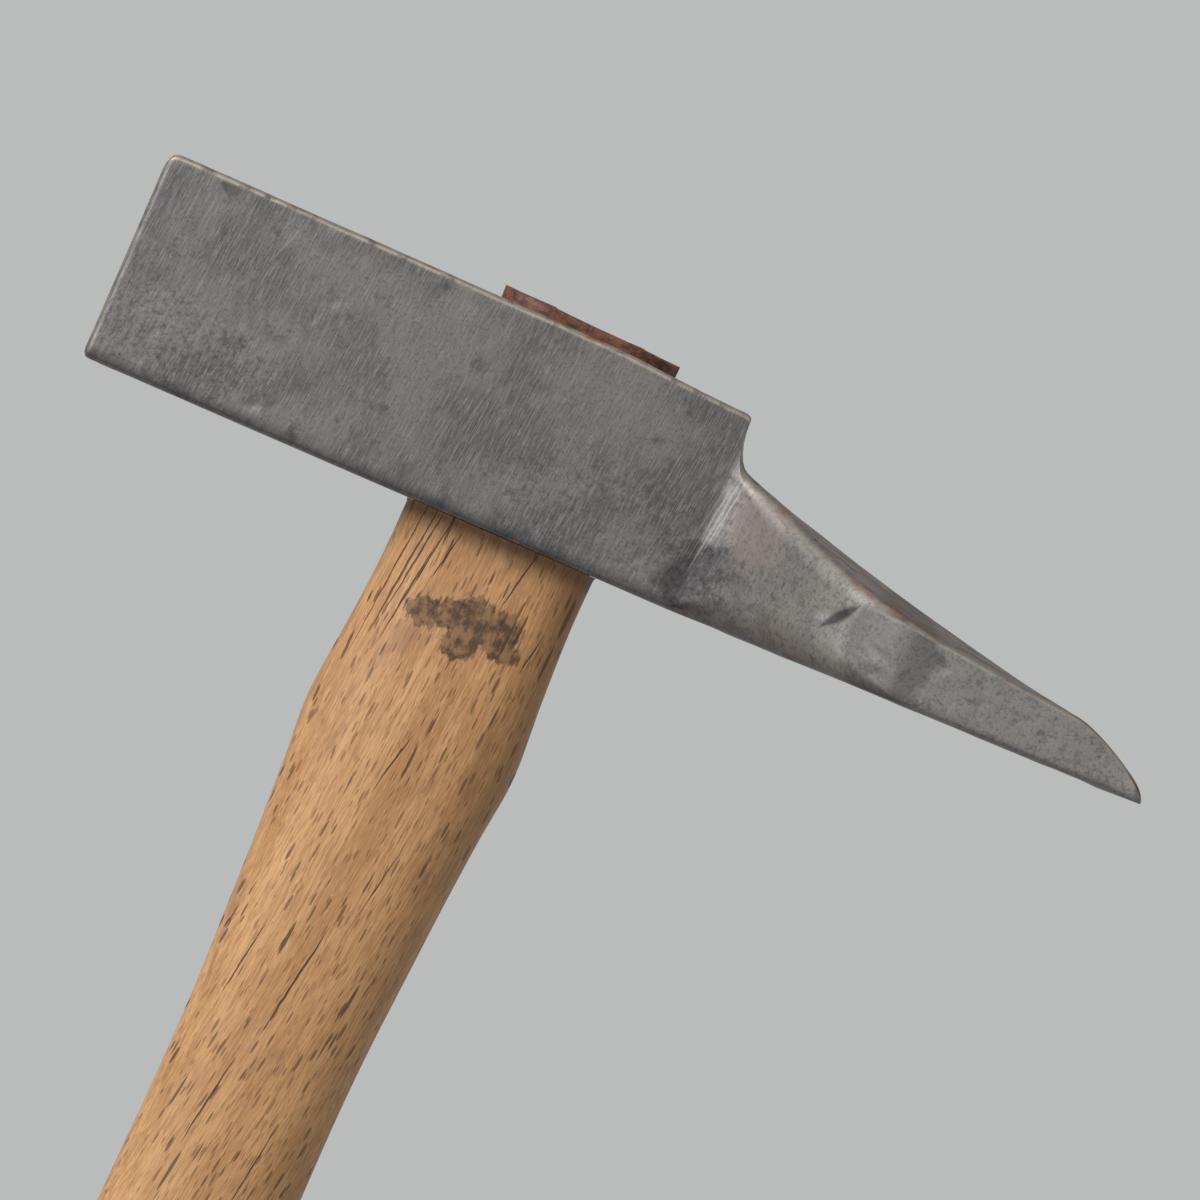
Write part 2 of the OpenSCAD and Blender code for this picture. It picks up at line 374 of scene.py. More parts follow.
def section_cap(ring, first, start):
    """Cap over a section of the head: a grid blended from the section's four sides."""
    a, b = SIDE_STEPS, TOP_STEPS
    turn = np.arange(2 * (a + b) + 1) % (2 * (a + b))
    right, top = turn[:a + 1], turn[a:a + b + 1]
    left, low = turn[a + b:2 * a + b + 1][::-1], turn[2 * a + b:][::-1]
    v = np.linspace(0, 1, a + 1)[:, None, None]
    u = np.linspace(0, 1, b + 1)[None, :, None]
    from_ends = mix(ring[low][None], ring[top][None], v)
    from_sides = mix(ring[right][:, None], ring[left][:, None], u)
    from_corners = mix(mix(ring[low[0]], ring[low[-1]], u), mix(ring[top[0]], ring[top[-1]], u), v)
    points = from_ends + from_sides - from_corners
    index = np.zeros((a + 1, b + 1), int)
    index[0], index[-1], index[:, 0], index[:, -1] = low, top, right, left
    index += first
    inner = (a - 1) * (b - 1)
    index[1:-1, 1:-1] = start + np.arange(inner).reshape(a - 1, b - 1)
    return points[1:-1, 1:-1].reshape(-1, 3), grid_quads(index)


def edge_distance(ring):
    """Distance in mm along a section from each of its points to the nearest corner."""
    steps = np.linalg.norm(np.diff(np.vstack([ring, ring[:1]]), axis=0), axis=1)
    along = np.concatenate([[0], np.cumsum(steps)])
    a, b = SIDE_STEPS, TOP_STEPS
    corners = along[[0, a, a + b, 2 * a + b, 2 * (a + b)]]
    return np.abs(along[:-1, None] - corners[None]).min(axis=1)


def rim_distance(rings, face_points, tip_points):
    """Distance in mm from each vertex of the head to the nearest edge, in the order of vertices."""
    along = np.stack([edge_distance(ring) for ring in rings])
    from_face = rings[:, :, 0] + FACE_X
    y, z = face_points[:, 1], face_points[:, 2] - REACH
    to_sides = BLOCK_T / 2 - FACE_R - np.abs(y)
    to_ends = np.minimum(z - FACE_R, BLOCK_H - FACE_TOP_R - z)
    on_face = np.maximum(np.minimum(to_sides, to_ends), 0)
    return np.concatenate([np.minimum(along, from_face).ravel(), on_face, np.zeros(len(tip_points))])


# Dents and nicks on the side that faces the camera: x, height, half length, half width, turn in
# degrees and depth
DENTS = (
    (-43.6, 19.6, 0.55, 0.35, 30, 0.14), (-44.4, 20.2, 0.5, 0.25, -60, 0.1),
    (-30.5, 14.8, 1.2, 0.7, 70, 0.1), (-29.0, 17.5, 1.0, 0.6, 20, 0.09),
    (-27.6, 15.9, 0.8, 0.5, 110, 0.09), (-31.8, 19.0, 0.9, 0.5, 0, 0.07),
    (-33.0, 2.6, 1.5, 0.6, 20, 0.16), (-30.8, 3.4, 1.0, 0.4, 40, 0.13),
    (-47.0, 6.0, 1.6, 0.8, 60, 0.08), (-44.0, 4.6, 1.3, 0.7, 30, 0.09),
    (-49.6, 8.6, 1.2, 0.6, 80, 0.07), (-42.3, 8.4, 1.0, 0.5, 50, 0.07),
    (-47.5, 2.4, 0.9, 0.5, 10, 0.1), (-24.6, 1.6, 1.4, 0.5, 0, 0.14),
    (3.2, 10.4, 0.8, 0.4, 60, 0.08), (8.6, 14.5, 0.7, 0.4, 10, 0.07),
    (13.5, 9.0, 1.1, 0.6, 80, 0.08), (16.8, 12.5, 0.8, 0.5, 30, 0.06),
    (11.0, 5.4, 1.2, 0.6, 20, 0.08), (15.8, 4.2, 1.5, 0.6, 60, 0.1),
    (20.5, 2.4, 1.6, 0.7, 10, 0.12), (27.0, 5.5, 2.4, 1.4, 20, 0.16),
    (31.0, 3.4, 2.2, 1.2, 0, 0.16), (24.6, 8.2, 1.6, 0.9, 60, 0.12),
    (38.9, 6.9, 2.0, 0.9, 32, 0.3), (46.0, 4.6, 2.6, 1.0, -20, 0.1),
    (53.0, 6.2, 1.4, 0.5, 50, 0.08), (58.4, 4.2, 1.2, 0.5, 30, 0.07),
)

# Dents drawn at random on the far side and on the striking face: how many, and the ranges of the
# same six values. On the face, the first is y.
FAR_DENTS = 34, ((-52, 70), (2, 22), (0.6, 2.2), (0.3, 0.8), (0, 180), (0.05, 0.14))
FACE_DENTS = 26, ((-11, 11), (2, 24), (0.4, 1.5), (0.2, 0.7), (0, 180), (0.04, 0.12))

# Marks of the hammer: size of the wave, and its depth on the block and on the peen
HAMMER_WAVES = ((9.0, 0.035, 0.1), (3.1, 0.018, 0.035), (1.2, 0.006, 0.006))

# Depth and width of the dish that use has worn in the face, depth of the pits, depth and width
# of the nicks along the edges, and the length over which all wear fades to the working edge
DISH_DEPTH, DISH_W = 0.25, 7
PIT_DEPTH = 0.05
NICK_DEPTH, NICK_W = 0.22, 0.9
TIP_FADE = 3

# Where marks lie: how far from the face's plane its own marks start and how fast they come in, how
# far past the step the peen's deeper marks are full, and how near the cheeks and how squarely
# turned to them the steel is that takes the dents of the sides
FACE_START, FACE_FADE = 1, 0.8
PEEN_FADE = 6
CHEEK_MARGIN = 3
SIDE_FACING = 0.3


def drawn_dents(u, v, draw, count, ranges):
    """Depth of dents whose places, shapes and depths are drawn from their ranges."""
    depth = np.zeros(len(u))
    for _ in range(count):
        mark_u, mark_v, *shape = [draw.uniform(low, high) for low, high in ranges]
        depth += bowl(u - mark_u, v - mark_v, *shape)
    return depth


def pits(points, height):
    """Depth of the rust pits, which gather in patches and near the underside."""
    patches = unit(lattice_noise(points, 6.0, 4) * 1.4 - 0.2) + ease((6 - height) / 5) * 0.6
    return PIT_DEPTH * unit(patches) * unit(lattice_noise(points, 0.8, 5) * 2.0 - 0.5)


def nicks(points, rim):
    """Depth of the nicks and of the worn stretches along the edges."""
    small = unit(lattice_noise(points, 1.3, 6) * 2.4 - 1.25)
    worn = 0.5 * unit(lattice_noise(points, 4.0, 7))
    return NICK_DEPTH * (small + worn) * unit(1 - rim / NICK_W)


def head_wear(points, normals, rim):
    """Depth in mm of hammer marks, dents, pits and nicks below the smooth forged form."""
    x, y, z = points.T
    z = z - REACH
    on_face = ease((FACE_START - FACE_X - x) / FACE_FADE)
    on_peen = ease((x - STEP_X) / PEEN_FADE)
    side = np.abs(normals[:, 1]) > SIDE_FACING
    near = side & (y < CHEEK_MARGIN - BLOCK_T / 2)
    far = side & (y > BLOCK_T / 2 - CHEEK_MARGIN)
    depth = pits(points, z) + nicks(points, rim)
    for seed, (size, on_block, past_step) in enumerate(HAMMER_WAVES, 1):
        depth += mix(on_block, past_step, on_peen) * (1 + lattice_noise(points, size, seed))
    for mark_x, mark_z, *shape in DENTS:
        depth += near * bowl(x - mark_x, z - mark_z, *shape)
    draw = np.random.default_rng(11)
    depth += far * drawn_dents(x, z, draw, *FAR_DENTS)
    depth += on_face * drawn_dents(y, z, draw, *FACE_DENTS)
    depth += on_face * DISH_DEPTH * unit(1 - rim / DISH_W) ** 2
    return depth * ease((TIP_X - x) / TIP_FADE)


# Levels of the eye's cutter: height, and how far the worn lip stands out there
EYE_LEVELS = (
    (-2.0, 0.5), (-0.3, 0.3), (0.35, 0.0), (4.0, 0.0), (EYE_WAIST_Z, 0.0), (20.0, 0.0),
    (CREST_H - 0.55, 0.0), (CREST_H + 0.35, 0.3), (CREST_H + 3, 0.9),
)


def eye_flare(z):
    """How far the eye's wall stands out at a height, beyond where it is at the waist."""
    if z < EYE_WAIST_Z:
        return FLARE_LOW * (1 - z / EYE_WAIST_Z)
    return FLARE_TOP * (z - EYE_WAIST_Z) / (CREST_H - EYE_WAIST_Z)


def slot_ring(r, z, count=96):
    """Points at even spacing round a slot with round ends of radius r."""
    straight, arc = 2 * EYE_END_X, math.pi * r
    half = straight + arc
    s = (np.arange(count) + 0.5) / count * 2 * half
    t, sign = s % half, np.where(s < half, 1, -1)
    a = np.minimum(t, arc) / r
    x = np.where(t < arc, EYE_END_X + r * np.sin(a), EYE_END_X - (t - arc))
    y = np.where(t < arc, -r * np.cos(a), r)
    return np.stack([sign * x, sign * y, np.full(count, float(z))], axis=1)


def eye_cutter():
    rings = [slot_ring(EYE_W / 2 + eye_flare(z) + lip, z + REACH) for z, lip in EYE_LEVELS]
    return closed_loft("eye_cutter", np.stack(rings))


def make_head():
    rings = np.stack([head_section(x) for x in head_stations()])
    points, faces = capped_tube(rings, section_cap, section_cap)
    face_points, tip_points = np.split(points[rings.size // 3:], 2)
    rim = rim_distance(rings, face_points, tip_points)
    head = new_piece("head_forging", points, faces)
    wear_down(head, lambda points, normals: head_wear(points, normals, rim))
    set_attribute(head, "rim", rim)
    cut(head, [eye_cutter()])
    finish_mesh(head)
    return head


# Handle

HANDLE_POINTS = 144
RING_SPACING = 0.75
BUTT_ROWS = 44
TENON_ROWS = 30
ROUNDING_RINGS = 8

# Form of the handle from the butt up: z, width, thickness, and how square its section is, where
# 2 is an oval
HANDLE_FORM = np.array([
    [0, BUTT_W, BUTT_T, 2.2],
    [20, mix(BUTT_W, GRIP_W, 0.6), GRIP_T - 0.4, 2.2],
    [48, GRIP_W, GRIP_T, 2.2],
    [90, mix(WAIST_W, GRIP_W, 0.78), mix(WAIST_T, GRIP_T, 0.78), 2.2],
    [140, mix(WAIST_W, GRIP_W, 0.22), mix(WAIST_T, GRIP_T, 0.22), 2.2],
    [188, WAIST_W, WAIST_T, 2.3],
    [212, mix(WAIST_W, SWELL_W, 0.33), mix(WAIST_T, SWELL_T, 0.4), 2.5],
    [REACH - 35, mix(WAIST_W, SWELL_W, 0.7), mix(WAIST_T, SWELL_T, 0.8), 2.7],
    [REACH - 26, SWELL_W, SWELL_T, 2.8],
    [REACH - 16.5, mix(NECK_W, SWELL_W, 0.42), mix(NECK_T, SWELL_T, 0.6), 3],
    [REACH - 7.5, NECK_W, NECK_T, 3.2],
    [REACH, NECK_W, NECK_T, 3.3],
])

# Heights of the tenon's rings above the head's underside, and the width of its broken edge
TENON_LEVELS = (0, 4, 8, EYE_WAIST_Z, 16, 20, 24, CREST_H - 0.3, CREST_H + 0.4)
TENON_EDGE = 0.4

# Facets left by shaping the handle by hand: size of the wave, and its depth
FACETS = (((7, 7, 34), 0.1), ((2.4, 2.4, 9), 0.03))

# Dents drawn at random: how many, and the radius at which their width round the handle is true
HANDLE_DENTS = 46
DENT_ARM = 11
BUTT_BRUISES = 0.16

# How far the cutters for the wedges reach past the tenon: above it, and at the ends of the slot
CUT_ABOVE = 1.0
CUT_BEYOND = 2


def form_at(k, t):
    """Smooth curve through the rows of the handle's form, at t between row k and the next."""
    a, b, c, d = (HANDLE_FORM[max(0, min(len(HANDLE_FORM) - 1, k + i))] for i in (-1, 0, 1, 2))
    return b + 0.5 * t * (c - a + t * (2 * a - 5 * b + 4 * c - d + t * (3 * (b - c) + d - a)))


def bulge(value, squareness):
    return np.sign(value) * np.abs(value) ** (2 / squareness)


def handle_ring(z, width, thickness, squareness):
    a = math.tau * (np.arange(HANDLE_POINTS) + 0.5) / HANDLE_POINTS - math.pi / 2
    inset = round_in(RIM_R, z)
    middle = -BOW * math.sin(math.pi * z / REACH)
    x = middle + (width / 2 - inset) * bulge(np.cos(a), squareness)
    y = (thickness / 2 - inset) * bulge(np.sin(a), squareness)
    return np.stack([x, y, np.full_like(x, z)], axis=1)


def tenon_ring(z, inset=0.0, slant=0.0):
    ring = slot_ring(EYE_W / 2 - EYE_GAP + eye_flare(z) - inset, z + REACH, HANDLE_POINTS)
    ring[:, 2] -= slant * ring[:, 0]
    return ring


def handle_rings():
    """Rings from the rounded butt to the head, and on up the tenon to its slanting end."""
    quarter = np.linspace(0, math.pi / 2, ROUNDING_RINGS)
    rings = [handle_ring(RIM_R * (1 - math.cos(a)), *HANDLE_FORM[0, 1:]) for a in quarter]
    for k in range(len(HANDLE_FORM) - 1):
        steps = int((HANDLE_FORM[k + 1, 0] - HANDLE_FORM[k, 0]) / RING_SPACING)
        first = int(RIM_R / RING_SPACING) + 1 if k == 0 else 0
        rings += [handle_ring(*form_at(k, i / steps)) for i in range(first, steps)]
    rings.append(handle_ring(*HANDLE_FORM[-1]))
    rings += [tenon_ring(z) for z in TENON_LEVELS]
    for below, inset in ((1, 0), (0.3, 0.3), (0, 1)):
        rings.append(tenon_ring(TENON_MID - TENON_EDGE * below, TENON_EDGE * inset, TENON_SLANT))
    return np.stack(rings)


def end_cap(ring, first, start, rows):
    """Cap with that many rows across a ring that is the same on both sides of the XZ plane."""
    half = len(ring) // 2
    turned = np.roll(np.arange(len(ring)), -(len(ring) // 4))
    one, other = turned[:half], turned[half:][::-1]
    t = np.linspace(0, 1, rows + 1)[:, None, None]
    points = mix(ring[one][None], ring[other][None], t)
    index = np.zeros((rows + 1, half), int)
    index[0], index[-1] = first + one, first + other
    index[1:-1, 1:-1] = start + np.arange((rows - 1) * (half - 2)).reshape(rows - 1, half - 2)
    faces = list(grid_quads(index[:, 1:-1]))
    for column, end in ((1, 0), (-2, -1)):
        faces.append([index[0, end], *index[:, column], index[-1, end]])
    return points[1:-1, 1:-1].reshape(-1, 3), faces


def handle_wear(points, _):
    """Depth in mm of the facets, dents and scrapes that hand shaping and use have left."""
    x, y, z = points.T
    depth = 0.012 * unit(lattice_noise(points, (0.9, 0.9, 3.5), 23))
    for seed, (size, wave_depth) in enumerate(FACETS, 21):
        depth += wave_depth * (1 + lattice_noise(points, size, seed))
    draw = np.random.default_rng(24)
    for _ in range(HANDLE_DENTS):
        mark_z, side = draw.uniform(6, REACH - 8), draw.uniform(0, math.tau)
        around = (np.arctan2(y, x) - side + math.pi) % math.tau - math.pi
        half_height, half_width = draw.uniform(0.8, 3.2), draw.uniform(0.4, 1.2)
        turn, dent_depth = draw.uniform(-30, 40), draw.uniform(0.05, 0.16)
        depth += bowl(around * DENT_ARM, z - mark_z, half_width, half_height, turn, dent_depth)
    depth += ease((4 - z) / 3) * BUTT_BRUISES * unit(lattice_noise(points, 2.2, 25) + 0.2)
    in_eye = (z > REACH - 0.2) & (z < REACH + CREST_H - 0.3)
    return np.where(in_eye, 0, depth)


def wood_space():
    """Cutter for the saw cut along the tenon and the wooden wedge in it."""
    top = REACH + TENON_MID
    saw_low, wood_low, high = top - SAW_DEPTH, top - WOOD_DEPTH, top + CUT_ABOVE
    high_t = WOOD_T + (WOOD_T - SAW_T) * CUT_ABOVE / WOOD_DEPTH
    outline = np.array([
        [-SAW_T / 2, saw_low], [SAW_T / 2, saw_low], [SAW_T / 2, wood_low],
        [high_t / 2, high], [-high_t / 2, high], [-SAW_T / 2, wood_low],
    ])
    half = EYE_L / 2 + CUT_BEYOND
    slices = [np.column_stack([np.full(len(outline), x), outline]) for x in (-half, half)]
    return closed_loft("wood_cutter", np.stack(slices))


def iron_space(x):
    """Cutter for the iron wedge at x, whose taper goes on past the end grain."""
    end = REACH + TENON_MID - TENON_SLANT * x
    low, high = end - IRON_DEPTH, end + CUT_ABOVE
    high_t = IRON_T + (IRON_T - IRON_TIP_T) * CUT_ABOVE / IRON_DEPTH
    outline = ((-IRON_TIP_T / 2, low), (IRON_TIP_T / 2, low), (high_t / 2, high), (-high_t / 2, high))
    slices = [[(x + dx, y, z) for dx, z in outline] for y in (-IRON_W / 2, IRON_W / 2)]
    return closed_loft("iron_cutter", np.array(slices))


def make_handle():
    points, faces = capped_tube(
        handle_rings(),
        lambda *place: end_cap(*place, BUTT_ROWS),
        lambda *place: end_cap(*place, TENON_ROWS),
    )
    handle = new_piece("handle_beech", points, faces)
    wear_down(handle, handle_wear)
    cut(handle, [wood_space(), iron_space(-IRON_X), iron_space(IRON_X)])
    finish_mesh(handle)
    return handle


# Shader arithmetic

class Cell:
    """What a shader node gives out. Arithmetic on it adds math nodes to the same shader."""

    def __init__(self, tree, socket):
        self.tree, self.socket = tree, socket

    def math(self, operation, *others, clamp=False):
        node = self.tree.nodes.new("ShaderNodeMath")
        node.operation, node.use_clamp = operation, clamp
        for value, socket in zip((self,) + others, node.inputs):
            feed(self.tree, value, socket)
        return Cell(self.tree, node.outputs[0])

    def __add__(self, other):
        return self.math("ADD", other)

    def __sub__(self, other):
        return self.math("SUBTRACT", other)

    def __mul__(self, other):
        return self.math("MULTIPLY", other)

    def __truediv__(self, other):
        return self.math("DIVIDE", other)

    def __rsub__(self, other):
        return self * -1.0 + other

    __radd__, __rmul__ = __add__, __mul__

    def magnitude(self):
        return self.math("ABSOLUTE")

    def between(self, low, high, start=0.0, end=1.0):
        """Goes smoothly from start to end as this goes from low to high."""
        node = self.tree.nodes.new("ShaderNodeMapRange")
        node.interpolation_type = "SMOOTHSTEP"
        for value, socket in zip((self, low, high, start, end), node.inputs):
            feed(self.tree, value, socket)
        return Cell(self.tree, node.outputs[0])

    def below(self, low, high):
        """1 up to low, and smoothly down to 0 at high."""
        return self.between(low, high, 1.0, 0.0)

    def clamped(self):
        return self.math("ADD", 0.0, clamp=True)


def feed(tree, value, socket):
    """Links a cell to a socket, or sets the socket to a plain value."""
    if isinstance(value, Cell):
        tree.links.new(value.socket, socket)
    else:
        socket.default_value = value


class Shader:
    """A material, with short calls for the nodes that it is built from. Lengths are in mm."""

    def __init__(self, name):
        self.material = bpy.data.materials.new(name)
        self.material.use_nodes = True
        self.tree = self.material.node_tree
        self.surface = self.tree.nodes["Principled BSDF"]
        place = self.tree.nodes.new("ShaderNodeTexCoord").outputs["Object"]
        self.place = self.scaled(Cell(self.tree, place), (1 / MM,) * 3)
        self.x, self.y, self.z = self.parts(self.place)
        self.up = self.z - float(REACH)
        self.tone = None

    def vector(self, operation, *inputs):
        node = self.tree.nodes.new("ShaderNodeVectorMath")
        node.operation = operation
        for value, socket in zip(inputs, node.inputs):
            feed(self.tree, value, socket)
        return Cell(self.tree, node.outputs[0])

    def scaled(self, vector, factors):
        return self.vector("MULTIPLY", vector, factors)

    def parts(self, vector):
        node = self.tree.nodes.new("ShaderNodeSeparateXYZ")
        feed(self.tree, vector, node.inputs[0])
        return [Cell(self.tree, out) for out in node.outputs]

    def joined(self, x, y, z):
        node = self.tree.nodes.new("ShaderNodeCombineXYZ")
        for value, socket in zip((x, y, z), node.inputs):
            feed(self.tree, value, socket)
        return Cell(self.tree, node.outputs[0])

    def attribute(self, name):
        node = self.tree.nodes.new("ShaderNodeAttribute")
        node.attribute_name = name
        return Cell(self.tree, node.outputs["Fac"])

    def normal(self):
        node = self.tree.nodes.new("ShaderNodeTexCoord")
        return self.parts(Cell(self.tree, node.outputs["Normal"]))

    def noise(self, size, detail=3.0, rough=0.55, place=None):
        """Noise from 0 to 1 whose features have that size: one length, or one for each axis."""
        sizes = size if isinstance(size, tuple) else (size,) * 3
        node = self.tree.nodes.new("ShaderNodeTexNoise")
        node.inputs["Scale"].default_value = 1.0
        node.inputs["Detail"].default_value = detail
        node.inputs["Roughness"].default_value = rough
        at = self.scaled(place or self.place, tuple(1 / s for s in sizes))
        feed(self.tree, at, node.inputs["Vector"])
        return Cell(self.tree, node.outputs["Fac"])

    def cells(self, size, place=None):
        """Distance from the middle of the nearest random cell, and two random numbers of that cell."""
        node = self.tree.nodes.new("ShaderNodeTexVoronoi")
        node.inputs["Scale"].default_value = 1.0
        at = self.scaled(place or self.place, tuple(1 / s for s in size))
        feed(self.tree, at, node.inputs["Vector"])
        own = self.parts(Cell(self.tree, node.outputs["Color"]))
        return Cell(self.tree, node.outputs["Distance"]), own[0], own[1]

    def stroke(self, start, end, width, waver=0.0):
        """1 along a tapering line seen from the side, from start to end, each (x, height)."""
        run = np.array(end) - np.array(start)
        length = float(np.linalg.norm(run))
        ux, uz = (float(v) for v in run / length)
        dx, dz = self.x + waver - start[0], self.up - start[1]
        along = (dx * ux + dz * uz) * (2 / length) - 1.0
        across = (dz * ux - dx * uz).magnitude()
        reach = along * along * width + across
        return reach.below(width * 0.5, width * 1.5)

    def spot(self, place, ragged, source):
        """1 inside an oval seen from the side, 0 beyond it, with a border made ragged by a noise.

        The place is its x, height, half width and half height.
        """
        x, height, half_x, half_z = place
        dx, dz = (self.x - x) / half_x, (self.up - height) / half_z
        distance = (dx * dx + dz * dz).math("SQRT") + (source - 0.5) * ragged
        return distance.below(0.85, 1.1)

    def mixed(self, factor, a, b):
        node = self.tree.nodes.new("ShaderNodeMix")
        node.data_type = "RGBA"
        feed(self.tree, factor, node.inputs[0])
        feed(self.tree, a, node.inputs[6])
        feed(self.tree, b, node.inputs[7])
        return Cell(self.tree, node.outputs[2])

    def coat(self, amount, paint):
        """Lays a colour over the tone so far, as far as amount says."""
        self.tone = self.mixed(amount, self.tone, paint)

    def bump(self, height):
        """Relief from a height in mm."""
        node = self.tree.nodes.new("ShaderNodeBump")
        node.inputs["Strength"].default_value = 1.0
        node.inputs["Distance"].default_value = MM
        feed(self.tree, height, node.inputs["Height"])
        feed(self.tree, Cell(self.tree, node.outputs[0]), self.surface.inputs["Normal"])

    def set(self, **values):
        names = {name.lower().replace(" ", "_"): name for name in self.surface.inputs.keys()}
        for key, value in values.items():
            feed(self.tree, value, self.surface.inputs[names[key]])


def colour(red, green, blue):
    """A colour from its values on a screen, 0 to 255, as the light that the shader works with."""
    def light(value):
        c = value / 255
        return c / 12.92 if c <= 0.04045 else ((c + 0.055) / 1.055) ** 2.4
    return (light(red), light(green), light(blue), 1.0)


# Places on the steel seen from the side: x, height, half width and half height
PITTED_END = (-44.0, 5.5, 12.0, 7.0)
PITTED_MIDDLE = (12.0, 5.0, 14.0, 8.0)
# Painted shade on the lower part of the flare past the step, which faces down
SHADED_ROUGH_CORNER = (28.0, 4.4, 9.5, 5.6)
# Painted highlight on the upper flare just past the step, which faces up toward the lamp
PAINTED_HIGHLIGHT_SPOT = (27.6, 13.5, 3.6, 5.6)
# Painted shade low on the flare's side, near where it stops widening
SHADED_SHOULDER_SPOT = (46.5, 6.0, 5.5, 7.0)

# Light lines left by a file at the step, and one scratch on the cheek: start, end and half
# width, each end as (x, height)
FILE_MARKS = (
    ((23.5, 18.5), (21.8, 5.0), 0.16),
    ((23.0, 18.0), (21.2, 6.0), 0.1),
    ((22.3, 17.5), (20.8, 8.0), 0.09),
    ((24.0, 17.0), (22.6, 8.0), 0.12),
    ((-35.5, 24.9), (-37.6, 19.3), 0.14),
    ((-37.0, 25.2), (-37.9, 22.6), 0.09),
)

# Painted shade on the dark side of the deepest dent in the flared side of the peen, in the same form
DENT_SHADE = ((38.2, 5.2), (41.4, 9.1), 0.55)

# How far the sanding lines lean toward the peen for each mm up
SANDING_LEAN = 0.09


class Steel(Shader):
    """Old forged steel, sanded by hand: fine lines, dark pits, bright worn edges with a painted
    highlight, brown rust, and painted light and shade on the flare and along the lower edge.
    """

    def __init__(self):
        super().__init__("forged_steel")
        _, sideways, self.facing_up = self.normal()
        self.sideways = sideways.magnitude()
        self.side = self.sideways.between(0.55, 0.9)
        self.on_block = self.x.between(21.0, 26.0, 1.0, 0.3)
        self.cloud = self.noise(11.0, 4.0, 0.6)
        self.mottle = self.noise(2.4, 3.0, 0.6)
        self.grit = self.noise(0.42, 3.0, 0.65)
        self.pocks = self.noise(0.75, 3.0, 0.65)
        sanded = self.joined(self.x - self.up * SANDING_LEAN, self.y, self.z)
        self.fine_lines = self.noise((0.13, 1.6, 2.6), 3.0, 0.65, place=sanded)
        self.long_lines = self.noise((0.3, 4.0, 8.0), 3.0, 0.6, place=sanded)
        self.dark_marks = (self.mottle * 0.6 + self.noise(5.5, 2.0, 0.5) * 0.4).between(0.56, 0.72)
        end, middle = self.spot(PITTED_END, 1.2, self.cloud), self.spot(PITTED_MIDDLE, 1.4, self.cloud)
        self.pitted = (end * 0.8 + middle * 0.6 + (1.0 - self.on_block) * 0.9).clamped()
        self.shaded_rough_corner = self.spot(SHADED_ROUGH_CORNER, 0.7, self.mottle) * self.side
        self.shaded_shoulder = self.spot(SHADED_SHOULDER_SPOT, 0.6, self.mottle)
        self.bare_metal()
        self.darkened_places()
        self.bright_places()
        self.relief_and_gloss(self.rusted())

    def bare_metal(self):
        """Clouded grey, with painted light making the flared sides of the peen lighter, and sanding
        lines, grit and pits.
        """
        self.tone = self.mixed(self.cloud.between(0.36, 0.62), colour(97, 94, 95), colour(122, 118, 115))
        # Painted light: the flare's sides, which turn from the plane of the cheeks toward the lamp, are
        # made lighter
        painted_flank_light = self.x.between(23.5, 30.0) * self.sideways.between(0.25, 0.7)
        self.coat(painted_flank_light * (0.3 + self.mottle * 0.5), colour(168, 163, 158))
        fine = self.fine_lines.between(0.42, 0.72) * (0.35 + self.on_block * 0.6)
        self.coat(fine, colour(144, 140, 136))
        self.coat(self.grit.between(0.5, 0.68) * 0.4, colour(72, 70, 72))
        self.coat(self.pitted * self.pocks.between(0.5, 0.68) * 0.55, colour(62, 61, 66))
        self.coat(self.pitted * self.pocks.below(0.34, 0.46) * 0.35, colour(150, 147, 142))
        self.coat(self.long_lines.between(0.58, 0.75) * self.on_block * 0.55, colour(146, 142, 138))

    def darkened_places(self):
        """Dark marks, painted shade with bluish scale along the lower edge, and painted shade on the
        rough corner at the foot of the step.
        """
        self.coat(self.dark_marks * 0.65, colour(66, 65, 69))
        # Painted shade along the rounded lower edge of the sides, partly dark bluish unsanded scale
        low_edge_scale_and_shade = self.up.below(0.4, 2.2) * self.side
        self.coat(low_edge_scale_and_shade * (0.35 + self.mottle * 0.4), colour(54, 54, 62))
        # Painted shade, mottled, on the lower part of the flare past the step
        self.coat(self.shaded_rough_corner * (0.35 + self.pocks * 0.6), colour(52, 50, 54))

    def bright_places(self):
        """Painted warm highlight at the step, file marks, painted shade in the deepest dent and low on
        the flare, and edges worn bright with a painted highlight.
        """
        # Painted warm highlight on the upper flare by the step
        painted_highlight = self.spot(PAINTED_HIGHLIGHT_SPOT, 1.3, self.pocks)
        self.coat(painted_highlight * (0.1 + self.grit * 0.3), colour(168, 150, 142))
        for mark in FILE_MARKS:
            self.coat(self.stroke(*mark) * self.side * (0.1 + self.grit * 0.5), colour(160, 155, 151))
        # Painted shade on one side of the deepest dent
        self.coat(self.stroke(*DENT_SHADE) * 0.8, colour(70, 67, 71))
        # Painted shade low on the flare near where it stops widening
        self.coat(self.shaded_shoulder * 0.45, colour(72, 70, 69))
        # Edges worn bright, partly a painted highlight where the edge turns toward the lamp; kept off
        # the lowest edge
        broken = self.noise(1.5, 3.0, 0.6).between(0.3, 0.55)
        worn_edge_highlight = self.attribute("rim").below(0.3, 0.75) * broken * self.up.between(1.6, 3.4)
        self.coat(worn_edge_highlight * (0.3 + self.on_block * 0.4), colour(178, 168, 154))

